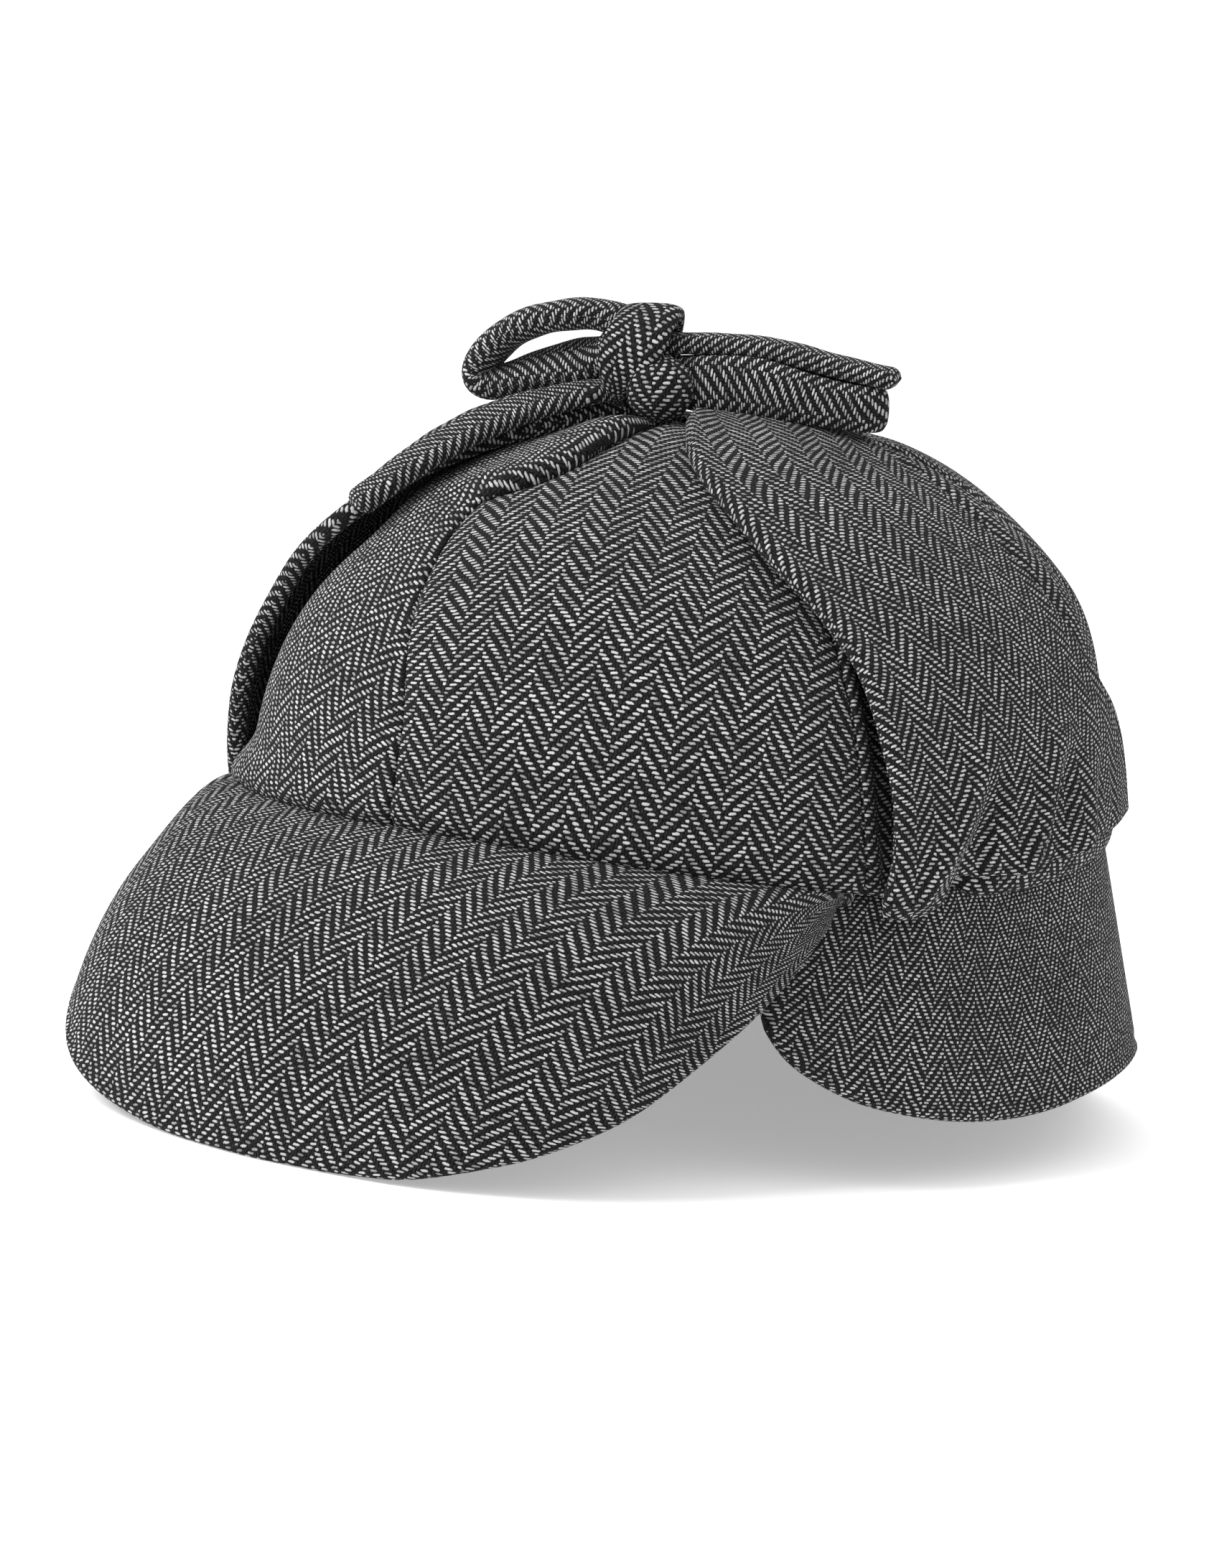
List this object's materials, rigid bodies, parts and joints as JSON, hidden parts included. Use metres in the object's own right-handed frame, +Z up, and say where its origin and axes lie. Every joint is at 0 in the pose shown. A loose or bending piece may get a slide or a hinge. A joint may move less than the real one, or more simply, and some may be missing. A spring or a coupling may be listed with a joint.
{
  "type": "deerstalker hat",
  "caption": "Soft tweed hat with a six-panel crown, a visor at the front and one round the back, and ear flaps folded up and tied in a bow on top.",
  "frame": {"origin": "middle of the hat's footprint, on the surface that it rests on", "axes": "-Y towards the front visor, +X towards the wearer's left, +Z up; the hat leans forward as it does by itself on its two visors"},
  "size_m": [0.1955, 0.2682, 0.1655],
  "materials": {
    "crown_cloth": "brushed wool herringbone tweed, matt",
    "visor_cloth": "wool herringbone tweed over a stiff core, matt",
    "flap_cloth": "two layers of wool herringbone tweed, matt",
    "tie_cloth": "wool herringbone tweed sewn into a flat tube, matt"
  },
  "bodies": {
    "root": {"crown_front_left": "crown_cloth", "crown_left": "crown_cloth", "crown_back_left": "crown_cloth", "crown_back_right": "crown_cloth", "crown_right": "crown_cloth", "crown_front_right": "crown_cloth", "front_visor": "visor_cloth", "back_visor": "visor_cloth", "ear_flap_left": "flap_cloth", "ear_flap_right": "flap_cloth", "bow_knot": "tie_cloth", "bow_loop_left": "tie_cloth", "bow_loop_right": "tie_cloth", "bow_tail_left": "tie_cloth", "bow_tail_right": "tie_cloth"}
  },
  "joints": []
}
